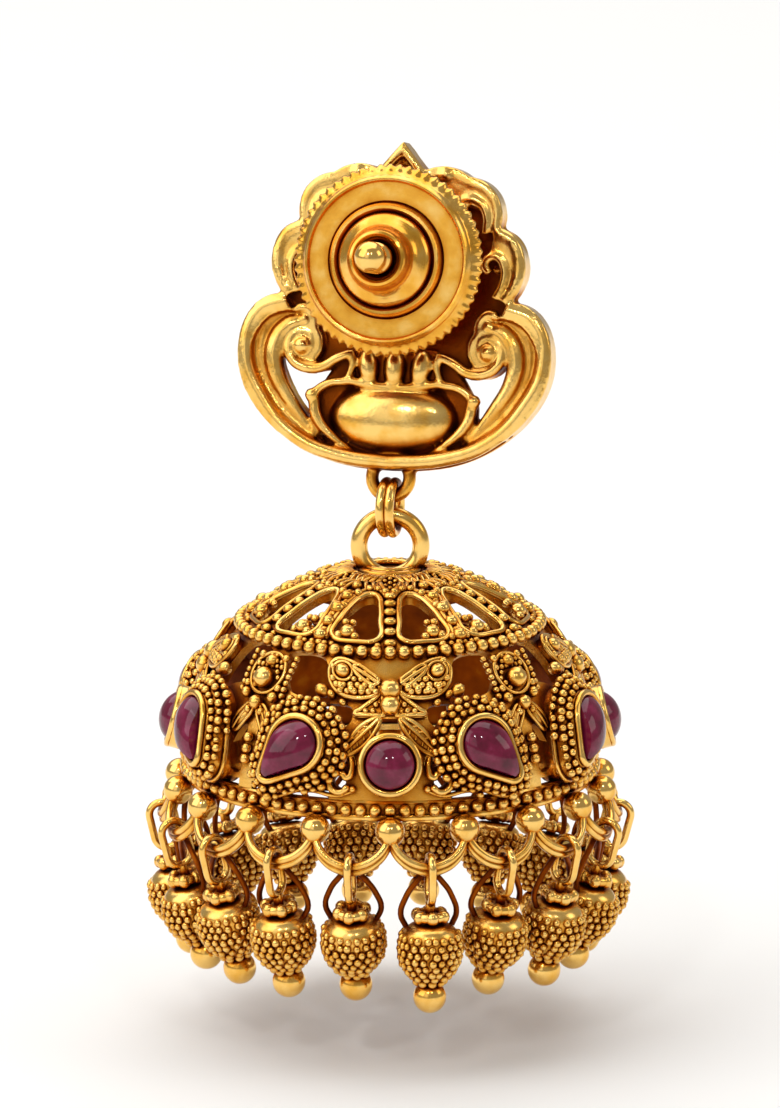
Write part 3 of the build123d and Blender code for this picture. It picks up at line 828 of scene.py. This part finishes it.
# the knobbed rib between two sectors, and the beaded panel across each sector's middle
KNOBS = ((30, 4.1, 0.34), (30, 5.3, 0.42), (30, 6.5, 0.48), (30, 7.6, 0.42), (30, 8.6, 0.46))
PANEL = ((-9, 2.5), (-6.5, 4.3), (6.5, 4.3), (9, 2.5))
IN_PANEL = ((-6.5, 3.0), (6.5, 3.0), (-4.8, 3.65), (4.8, 3.65), (0, 3.3), (0, 3.95), (0, 2.65))
for sector in CAP_SECTORS:
    for k in range(6):  # beaded rib between the two openings
        bead = bud(on_cap(0, 5.0 + 0.78 * k, 0.2), (0.36, 0.44, 0.32))
        cap_work.append(seat(bead, spun(sector)))
    for side in SIDES:
        edge = [on_cap(sector + side * t, r, 0.18) for t, r in CAP_PIERCED]
        cap_work.append(wire(edge, 0.2, ring=True))
        cap_work.append(wire([on_cap(sector + side * t, r, 0.22) for t, r in BROW], 0.16))
        cap_work.append(ball(on_cap(sector + side * 18.8, 8.2, 0.2), 0.5))
        for balls, lift in ((IN_OPENING, 0.16), (ON_BROW, 0.3)):
            for t, r, size in balls:
                cap_work.append(ball(on_cap(sector + side * t, r, lift), size, 12, 8))
    for t, r, size in KNOBS:
        cap_work.append(ball(on_cap(sector + t, r, 0.26), size))
    panel = [on_cap(sector + t, r, 0.2) for t, r in PANEL]
    cap_work.append(wire(panel, 0.12, ring=True, steps=3))
    for t, r in IN_PANEL:
        cap_work.append(ball(on_cap(sector + t, r, 0.16), 0.17, 8, 6))
for height, radius, half_width in ((13.0, 1.75, 0.3), (13.25, 1.45, 0.22)):  # collar round the ring
    ring = [round_bell(30 * k, radius, height) for k in range(12)]
    cap_work.append(wire(ring, half_width, ring=True))
on_bell("dome_scrolls", cap_work, wire_gilt)
settle(seat(dome_grains, bell_frame), grain_gilt, "bell")

# ---------------------------------------------------------------- flowers of the band
# Stamped and wire-built flowers soldered over the pierced band: a broad one above each round
# stone, with two winged sprays and two long leaves, and a narrow one between the pear stones.
# Each is laid out flat, x across and y up from its lower ball, and then bent to the band.
WING = (
    (0.62, 1.15), (1.4, 2.0), (2.2, 2.7), (3.2, 2.9), (3.72, 2.25), (3.6, 1.25), (2.9, 0.6),
    (1.8, 0.45), (0.85, 0.7),
)
LEAF = ((0.62, -0.78), (1.5, -1.1), (2.35, -1.95), (3.12, -3.15), (1.9, -2.75), (1.05, -1.85))
LEAF_VEIN = ((0.7, -0.85), (1.7, -1.85), (2.95, -2.98))
SPRAY = ((0.7, 1.35), (1.25, 2.05), (2.15, 2.45), (1.75, 1.7))
SPRAY_VEIN = ((0.65, 1.3), (1.4, 1.85), (2.2, 2.35))
EYE, EYE_KEPT = (2.88, 2.1), 0.66  # the wing's ball, and how far grains keep from it
# x, y, lift off the wall and radius
LOOSE_BALLS = ((3.68, 0.62, 0.34, 0.3), (2.95, 0.15, 0.28, 0.27), (0.75, 1.72, 0.28, 0.24))
BROAD_LOWERED = 0.3
CUP = (
    (-1.15, 0.5), (-1.25, 1.6), (-0.6, 2.35), (0, 2.5), (0.6, 2.35), (1.25, 1.6), (1.15, 0.5),
    (0.5, -0.1), (-0.5, -0.1),
)
CUP_EYE, CUP_EYE_KEPT = 0.75, 0.78
# x, y and radius
CUP_BALLS = ((1.12, -0.35, 0.36), (1.3, 0.25, 0.26), (1.0, 2.25, 0.27), (0.55, -1.35, 0.26))
SMALL_LEAF = ((0.3, -0.95), (1.05, -1.3), (1.55, -2.75), (0.65, -2.1))
SMALL_VEIN = ((0.4, -1.0), (1.0, -1.8), (1.5, -2.7))


def hatch(outline, pitch, size, lift, margin):
    """Grains packed inside an outline."""
    xs, ys = [p[0] for p in outline], [p[1] for p in outline]
    corners = ((margin, 0), (-margin, 0), (0, margin), (0, -margin))
    places, y, row = [], min(ys), 0
    while y < max(ys):
        x = min(xs) + pitch / 2 * (row % 2)
        while x < max(xs):
            if all(inside(outline, x + dx, y + dy) for dx, dy in corners):
                places.append(grain_at(x, y, lift, size * (0.9 + 0.25 * shaker.random())))
            x += pitch
        y, row = y + pitch * 0.87, row + 1
    return places


def broad_flower():
    """Two balls, and on each side a triangle, a long leaf and a winged spray."""
    work, grains = [bud((0, 1.02, 0.45), (0.68, 0.68, 0.6), 0, 18, 12)], []
    work.append(bud((0, 0, 0.5), (0.63, 0.63, 0.58), 0, 18, 12))
    for side in SIDES:
        def out(*points):
            return sided(points, side)

        triangle = straight(out((0.45, 0.8), (2.2, -0.55), (0.4, -0.62)), 5)
        work.append(wire(laid(triangle, 0.42), 0.15, ring=True, steps=2))
        for x, y in ((0.85, 0.05), (1.05, -0.33), (1.5, -0.36)):
            work.append(ball((side * x, y, 0.42), 0.2, 10, 7))
        work.append(prism(out((0.4, 0.8), (2.2, -0.6), (0.4, -0.6))[::side], -0.1, 0.36))
        work.append(wire(laid(rounded(out(*LEAF), 3), 0.4), 0.16, ring=True, steps=2))
        work.append(bud((side * 1.83, -1.95, 0.12), (0.66, 1.66, 0.36), side * 45, 16, 10))
        work.append(wire(laid(out(*LEAF_VEIN), 0.5), 0.13))
        for t in (0.25, 0.42, 0.6, 0.76):
            x, y = 0.7 + 2.25 * t, -0.85 - 2.13 * t
            work.append(wire(laid(out((x, y), (x + 0.42, y + 0.1)), 0.44), 0.08))
            work.append(wire(laid(out((x, y), (x - 0.08, y - 0.42)), 0.44), 0.08))
        work.append(wire(laid(rounded(out(*WING), 3), 0.46), 0.16, ring=True, steps=2))
        work.append(prism(rounded(out(*WING), 3)[::-side], -0.1, 0.42))
        eye_x, eye_y = side * EYE[0], EYE[1]
        work.append(bud((eye_x, eye_y, 0.6), (0.45, 0.45, 0.42)))
        ring = [(eye_x + 0.6 * cos(a * pi / 4), eye_y + 0.6 * sin(a * pi / 4), 0.56) for a in range(8)]
        work.append(wire(ring, 0.12, ring=True, steps=3))
        work.append(wire(laid(out(*SPRAY), 0.62), 0.14, ring=True, steps=3))
        work.append(wire(laid(out(*SPRAY_VEIN), 0.66), 0.13))
        for x, y in ((1.1, 1.1), (1.7, 1.0), (2.35, 0.95), (3.0, 1.15)):
            work.append(bud((side * x, y, 0.52), (0.27, 0.33, 0.28), side * -20, 10, 7))
        work.append(bud((side * 4.25, 0.8, 0.36), (0.47, 0.47, 0.45)))
        for x, y, lift, size in LOOSE_BALLS:
            work.append(ball((side * x, y, lift), size))
        eye = Vector((eye_x, eye_y))
        grains += [
            grain for grain in hatch(out(*WING), 0.44, 0.24, 0.5, 0.06)
            if (Vector(grain.translation[:2]) - eye).length > EYE_KEPT
        ]
    work.append(wire(laid(((-2.2, -0.66), (0, -0.72), (2.2, -0.66)), 0.3), 0.12))
    lower = Matrix.Translation((0, -BROAD_LOWERED, 0))
    return seat(gather("broad_flower", work), lower), [lower @ grain for grain in grains]


def narrow_flower():
    """A cup with a ball in it, two small leaves, and a beaded post on each side."""
    work = [bud((0, 0.75, 0.5), (0.66, 0.66, 0.6), 0, 18, 12)]
    work.append(bud((0, -0.85, 0.4), (0.46, 0.46, 0.44)))
    work.append(bud((0, 1.95, 0.3), (0.42, 0.42, 0.4)))
    work.append(prism(rounded(CUP, 2)[::-1], -0.1, 0.16))
    work.append(wire(laid(CUP, 0.28), 0.14, ring=True))
    grains = [
        grain for grain in hatch(list(CUP), 0.4, 0.19, 0.26, 0.1)
        if Vector((grain.translation[0], grain.translation[1] - CUP_EYE)).length > CUP_EYE_KEPT
    ]
    for side in SIDES:
        for x, y, size in CUP_BALLS:
            work.append(ball((side * x, y, 0.3), size))
        work.append(bud((side * 0.95, -1.75, 0.1), (0.42, 1.05, 0.26), side * 28, 14, 9))
        work.append(wire(laid(sided(SMALL_LEAF, side), 0.26), 0.12, ring=True))
        work.append(wire(laid(sided(SMALL_VEIN, side), 0.34), 0.1))
        for k in range(7):  # beaded post at the window's edge
            work.append(ball((side * 1.72, 2.35 - 0.42 * k, 0.26), 0.21, 10, 7))
    for y in (-3.05, -3.75, -4.4):
        work.append(bud((0, y, 0.26), (0.33, 0.33, 0.3), 0, 12, 8))
    return gather("narrow_flower", work), grains


def copied(model):
    """Another object with a mesh of its own."""
    one = model.copy()
    one.data = model.data.copy()
    bpy.context.collection.objects.link(one)
    return one


flowers, flower_grains = [], []
for make, start in ((broad_flower, 0), (narrow_flower, 45)):
    pattern, seeds = make()
    seed_mesh = strew("seeds", granule(8, 5), seeds)
    for quarter in QUARTERS:
        for model, heap in ((pattern, flowers), (seed_mesh, flower_grains)):
            heap.append(on_flower_line(copied(model), quarter + start))
    bpy.data.objects.remove(pattern)
    bpy.data.objects.remove(seed_mesh)
seat(paint_shade_inside(settle(gather("band_flowers", flowers), flower_gilt, "bell")), bell_frame)
on_bell("flower_grains", flower_grains, grain_gilt)

# ---------------------------------------------------------------- settings
# Each round stone sits in a plain tube bezel. Each pear stone's bezel stands on a granulated
# mango boss, with two rows of grains all round it and a third round its broad end.
SETTING_TILT = 14
# radius and height of the round bezel's edge; inner radius, outer radius and depth of its tube
ROUND_FACE, ROUND_HEIGHT, ROUND_TUBE = 13.9, 3.5, (1.6, 2.03, 2.3)
# the same place for the pear bezel, its degrees from the round one, and its lean
PEAR_FACE, PEAR_HEIGHT, PEAR_SPREAD, PEAR_LEAN = 14.1, 4.6, 25.3, 41
# the pear's outline: radius of the broad end, then distance and radius of the tip
PEAR_ROUND, PEAR_TIP, PEAR_TIP_R = 1.5, 2.6, 0.3
ROUND_STEPS, TIP_STEPS = 40, 12


def setting_place(turn, radius, height, lean=0):
    """Plane of a bezel's edge: z looks out of the bell and y up along its wall."""
    centre = spun(turn) @ Matrix.Translation((radius, 0, height))
    return centre @ spun(90 - SETTING_TILT, "Y") @ spun(90 + lean)


def pear_line(grow, count):
    """Evenly spaced points round the pear, its tip downwards."""
    big, small = PEAR_ROUND + grow, PEAR_TIP_R + grow
    dip = degrees(atan2(big - small, sqrt(PEAR_TIP ** 2 - (big - small) ** 2)))
    run = []
    for k in range(ROUND_STEPS + 1):
        a = radians(-dip + (180 + 2 * dip) * k / ROUND_STEPS)
        run.append((big * cos(a), big * sin(a)))
    for k in range(TIP_STEPS + 1):
        a = radians(180 + dip + (180 - 2 * dip) * k / TIP_STEPS)
        run.append((small * cos(a), small * sin(a) - PEAR_TIP))
    spans = [(Vector(b) - Vector(a)).length for a, b in zip(run, run[1:] + run[:1])]
    even, step = [], sum(spans) / count
    for k in range(count):
        target, along, j = k * step, 0, 0
        while along + spans[j] < target:
            along, j = along + spans[j], j + 1
        share = (target - along) / spans[j]
        a, b = Vector(run[j]), Vector(run[(j + 1) % len(run)])
        even.append(tuple(a + (b - a) * share))
    return even


LIP = (1.81, -0.06, 0.24)  # centreline radius, height and wire radius of the round bezel's lip
BACK_PLATE = (1.5, -1.4, -0.85)  # radius, lower and upper height
BOSS_GROWN, BOSS_LOW, BOSS_TOP = 1.0, -3.2, -0.62
# growth of the outline, height and wire radius of the pear bezel's two wires and the boss's foot
PEAR_WIRES = ((0.24, -0.1, 0.24), (0.26, -0.45, 0.24), (1.1, -1.5, 0.17))
# growth, height, count, and how low on the outline the row still has grains
GRAIN_ROWS = ((0.72, -0.46, 27, -9), (1.12, -0.8, 31, -9), (1.42, -1.25, 33, -2.4))
BOSS_GRAIN, BOSS_SHAKE = 0.255, 0.16


def circle(radius, count):
    """Points of x and y round a circle."""
    return [(radius * cos(k * 2 * pi / count), radius * sin(k * 2 * pi / count)) for k in range(count)]


round_settings, pear_settings, boss_grains = [], [], []
inner, outer, deep = ROUND_TUBE
tube = [
    (inner - 0.2, -0.95), (inner, -0.75), (inner, -0.12), (inner + 0.08, 0.02), (inner + 0.22, 0.05),
    (outer - 0.08, 0.0), (outer, -0.14), (outer, -deep), (inner - 0.2, -deep), (inner - 0.2, -0.95),
]
for quarter in QUARTERS:
    place = setting_place(quarter, ROUND_FACE, ROUND_HEIGHT)
    lip = wire(laid(circle(LIP[0], 16), LIP[1]), LIP[2], ring=True, sides=3, steps=4)
    plate = prism(circle(BACK_PLATE[0], 28), *BACK_PLATE[1:])
    for part in (turned(tube, 56), lip, plate):
        round_settings.append(seat(part, place))
    for side in SIDES:
        turn, tip_turn = quarter + side * PEAR_SPREAD, side * PEAR_LEAN
        place = setting_place(turn, PEAR_FACE, PEAR_HEIGHT, tip_turn)
        boss = modified(
            prism(pear_line(BOSS_GROWN, 56), BOSS_LOW, BOSS_TOP), "soft shoulder", "BEVEL",
            width=0.38, segments=3, limit_method="ANGLE", angle_limit=radians(50))
        bpy.ops.object.shade_smooth()
        pear_settings.append(seat(boss, place))
        for grow, lift, half in PEAR_WIRES:
            bent = wire(laid(pear_line(grow, 28), lift), half, ring=True, steps=3)
            pear_settings.append(seat(bent, place))
        for grow, lift, count, lowest in GRAIN_ROWS:
            for x, y in pear_line(grow, count):
                if y > lowest:
                    x = x + BOSS_SHAKE * (shaker.random() - 0.5)
                    y = y + BOSS_SHAKE * (shaker.random() - 0.5)
                    size = BOSS_GRAIN * (0.85 + 0.4 * shaker.random())
                    boss_grains.append(place @ grain_at(x, y, lift, size))
for name, pieces in (("round_bezels", round_settings), ("pear_bosses", pear_settings)):
    seat(paint_shade_inside(settle(gather(name, pieces), wire_gilt, "bell")), bell_frame)
settle(seat(strew("boss_grains", granule(10, 7), boss_grains), bell_frame), grain_gilt, "bell")

# wire scrolls on both sides of each round stone, x across and y up from the flowers' line
CURL_R, CURL_AT = 0.6, (3.2, -5.1)
FOOT_WIRE = ((2.3, -5.6), (3.4, -5.95), (4.8, -5.75), (6.2, -5.85))
SCROLL_BALLS = ((2.55, -3.2, 0.3), (4.1, -4.0, 0.27), (4.3, -5.1, 0.24), (2.35, -5.5, 0.24))
curl = [(CURL_R * cos(radians(a)), CURL_R * sin(radians(a)), 0.42) for a in range(150, -180, -30)]
curl = [(-0.75, 1.55, 0.25), (-0.85, 0.9, 0.34)] + curl + [(-0.2, -0.62, 0.32)]
curl = [(x + CURL_AT[0], y + CURL_AT[1], lift) for x, y, lift in curl]
scrolls = []
for quarter in QUARTERS:
    for side in SIDES:
        parts = [wire(sided(curl, side), 0.22), wire(sided(laid(FOOT_WIRE, 0.2), side), 0.15)]
        parts += [ball((side * x, y, 0.25), size, 10, 7) for x, y, size in SCROLL_BALLS]
        scrolls += [on_flower_line(part, quarter) for part in parts]
on_bell("band_scrolls", scrolls, wire_gilt)

# ---------------------------------------------------------------- rubies
# Corundum cut as cabochons, deep magenta red over the closed back of the setting, with faint
# paler veils of silk inside. Each stone is held by its bezel alone.
ruby, tree, shader = finish_named("ruby, cut en cabochon and polished")
place = add(tree, "ShaderNodeTexCoord").outputs["Object"]
SILK = 1.1  # millimetres between the cloudy veils inside a stone
silk = add(tree, "ShaderNodeTexNoise", {"Vector": place, "Scale": 1 / (SILK * MM), "Detail": 4})
RUBY_TONES = ((0.3, "#500A20"), (0.55, "#701334"), (0.75, "#8A2A4C"))
tree.links.new(toned(tree, silk.outputs["Fac"], RUBY_TONES), shader.inputs["Base Color"])
shader.inputs["Roughness"].default_value = 0.07
shader.inputs["IOR"].default_value = 1.77
shader.inputs["Specular IOR Level"].default_value = 0.22
for name, node in frame["nodes"].items():
    if name.startswith("ruby"):
        coated(node, ruby)

# ---------------------------------------------------------------- hanger balls and festoon
# Eighteen polished balls soldered under the rim, with an arc of doubled wire from each to the
# next for the drops to hang on.
HANGERS, HANGER = 18, (13.75, -0.85, 0.95)  # count; radius, height and size of the balls
HANGER_STEP = 360 / HANGERS
ARC_LOW, ARC_WIRE, ARC_APART = (14.65, -3.1), 0.26, 0.19  # lowest point; the two wires of an arc
ARC_SPREAD, ARC_POINTS = 0.3, 9
work = []
half_step = pi / HANGERS
across, out = HANGER[0] * sin(half_step), HANGER[0] * cos(half_step)
sag = sqrt((ARC_LOW[0] - out) ** 2 + (ARC_LOW[1] - HANGER[1]) ** 2)
bend = (across ** 2 + sag ** 2) / (2 * sag)
reach = atan2(across, sag - bend) if sag > bend else pi - atan2(across, bend - sag)
arc = []
for j in range(ARC_POINTS):
    a = -reach + 2 * reach * j / (ARC_POINTS - 1)
    down = (sag - bend) + bend * cos(a)
    x, z = (high + (low - high) * down / sag for high, low in zip((out, HANGER[1]), ARC_LOW))
    arc.append((x, bend * sin(a), z))
for k in range(HANGERS):
    hanger = ball((HANGER[0], 0, HANGER[1]), HANGER[2], 24, 16)
    work.append(seat(hanger, spun(HANGER_STEP * k)))
    for strand in SIDES:
        run = [(x + ARC_SPREAD * strand * ARC_APART, y, z + strand * ARC_APART) for x, y, z in arc]
        bent = wire(run, ARC_WIRE, sides=3, steps=4)
        work.append(seat(bent, spun(HANGER_STEP * (k + 0.5))))
on_bell("festoon", work, wire_gilt)

# ---------------------------------------------------------------- drops
# Eighteen acorn beads, each on a gilded pin: an oblong loop over the arc, a collar of grains, a
# hollow bead granulated below its plain shoulder, and a ball that the pin ends in.
# degrees: the first drop's lean inwards, the others', how far theirs sways, and the sway's step
PLUMB_LEAN, DROP_LEAN, LEAN_SWAY, LEAN_STEP = 2.0, 14.5, 1.5, 130.0
# radius and height of the bead's turned profile, below the arc's lowest point
BEAD = (
    (0.42, -3.52), (0.85, -3.47), (1.25, -3.6), (1.56, -3.82), (1.76, -4.12), (1.84, -4.5),
    (1.86, -4.9), (1.84, -5.4), (1.75, -5.9), (1.55, -6.4), (1.24, -6.85), (0.92, -7.15),
    (0.42, -7.18), (0.42, -3.52),
)
# radius, height and count of the bead's rows of grains
BEAD_ROWS = (
    (1.78, -4.28, 20), (1.87, -4.73, 21), (1.9, -5.18, 21), (1.86, -5.63, 21), (1.74, -6.06, 19),
    (1.53, -6.46, 17), (1.25, -6.82, 14),
)
BEAD_GRAIN = 0.27
bead_grains = []
for row, (radius, height, count) in enumerate(BEAD_ROWS):
    for k in range(count):
        turn = 360 * (k + row / 2 + 0.3 * shaker.random()) / count
        size = BEAD_GRAIN * (0.86 + 0.2 * shaker.random())
        height_here = height + 0.08 * (shaker.random() - 0.5)
        bead_grains.append(grain_at(*round_bell(turn, radius, height_here), size))
bead_model = gather(
    "drop_bead", [turned(BEAD, 40), strew("bead_grains", granule(8, 5), bead_grains)])
foot = [grain_at(*round_bell(360 / 9 * k, 0.86, -7.22), 0.3) for k in range(9)]
stretch = Matrix.Diagonal((1, 1, 1.05, 1))
collar = [grain_at(*round_bell(360 / 6 * k, 0.86, -3.0), 0.42) @ stretch for k in range(6)]
pin_grains = strew("pin_grains", granule(12, 8), foot + collar)
# the bail: a thin wire bent to a drop shape, from inside the pin's loop to the bead's shoulders;
# # its dark brown is painted shade
BAIL = ((-0.5, 1.45, -3.8), (-0.6, 1.78, -3.0), (-0.6, 1.5, -2.0), (-0.55, 0.95, -1.1), (-0.55, 0, -0.35))
bail = wire(list(BAIL) + [(x, -y, z) for x, y, z in BAIL[-2::-1]], 0.19, steps=4)
FACET_TURN = 2.4  # radians from one bead's turn about its pin to the next one's
drop_grains, bails = [], []
for k in range(HANGERS):
    lean_in = PLUMB_LEAN if k == 0 else DROP_LEAN + LEAN_SWAY * sin(radians(LEAN_STEP * k))
    hung = Matrix.Translation((ARC_LOW[0], 0, ARC_LOW[1]))
    place = bell_frame @ spun(HANGER_STEP * (k + 0.5)) @ hung @ spun(lean_in, "Y")
    turn = Matrix.Rotation(FACET_TURN * k, 4, "Z")
    bead = seat(copied(bead_model), place @ turn)
    drop_grains.append(seat(copied(pin_grains), place @ turn))
    bails.append(seat(copied(bail), place))
    settle(named(f"granulated_bead_{k + 1:02}", bead), grain_gilt, "bell")
    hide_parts(f"drop_bead_{k + 1:02}")
    coated(frame["nodes"][f"drop_pin_{k + 1:02}"], wire_gilt)
for model in (bead_model, pin_grains, bail):
    bpy.data.objects.remove(model)
# the bails' dark brown gilding is painted shade
settle(gather("drop_bails", bails), shade_brown_gilt, "bell")
settle(gather("drop_collars", drop_grains), grain_gilt, "bell")

# ---------------------------------------------------------------- table and studio
# A plain pale table low enough for the bell to swing clear of it, soft boxes all round, and two
# small lamps in front that put the paired glints in the stones.
VIEW_TURN, VIEW_RISE = 193, 12
VIEW_DISTANCE, VIEW_LENS = 0.57, 290
TABLE_GAP = 0.0042
low, high = cad_box
bpy.ops.mesh.primitive_circle_add(
    vertices=96, radius=4, fill_type="NGON", location=(0, 0, low[2] - TABLE_GAP))
table = seat(named("table"), Matrix.Identity(4))
paper, tree, shader = finish_named("matt white paper")
shader.inputs["Base Color"].default_value = colour("#F4F3F1")
shader.inputs["Roughness"].default_value = 0.8
coated(table, paper)

turn, rise = radians(VIEW_TURN), radians(VIEW_RISE)
back = Vector((sin(turn) * cos(rise), -cos(turn) * cos(rise), sin(rise)))
right = Vector((0, 0, 1)).cross(back).normalized()
above = back.cross(right)
looked_at = (Vector(low) + Vector(high)) / 2 + Vector((0, 0, 0.0002))
lens = bpy.data.cameras.new("camera")
lens.lens, lens.clip_start, lens.clip_end = VIEW_LENS, 0.01, 20
camera = bpy.data.objects.new("camera", lens)
camera.location = looked_at + VIEW_DISTANCE * back
camera.rotation_euler = back.to_track_quat("Z", "Y").to_euler()
bpy.context.collection.objects.link(camera)
bpy.context.scene.camera = camera

# name, across, up and back from the object, size, power and colour
LAMPS = (
    ("left soft box", -0.62, 0.4, 0.35, 0.74, 2.7, "#FFFFFF"),
    ("right soft box", 0.6, 0.3, 0.15, 0.3, 0.5, "#FFF6EA"),
    ("overhead soft box", -0.1, 0.75, -0.15, 1.12, 6.3, "#FFFFFF"),
    ("soft box behind the camera", -0.35, 0.12, 0.8, 0.42, 0.34, "#FFFFFF"),
    ("left glint lamp", -0.1, 0.2, 0.42, 0.03, 0.2, "#FFFFFF"),
    ("right glint lamp", 0.09, 0.22, 0.42, 0.024, 0.11, "#FFFFFF"),
)
for name, across, up, nearer, size, power, code in LAMPS:
    bulb = bpy.data.lights.new(name, "AREA")
    bulb.shape, bulb.size, bulb.energy, bulb.color = "SQUARE", size, power, colour(code)[:3]
    lamp = bpy.data.objects.new(name, bulb)
    away = across * right + up * above + nearer * back
    lamp.location = looked_at + away
    lamp.rotation_euler = away.to_track_quat("Z", "Y").to_euler()
    bpy.context.collection.objects.link(lamp)
world = bpy.data.worlds.new("studio")
bpy.context.scene.world = world
world.use_nodes = True
surround = world.node_tree.nodes["Background"].inputs
surround["Color"].default_value, surround["Strength"].default_value = colour("#F1F0EE"), 0.4
bpy.context.scene.view_settings.view_transform = "Standard"
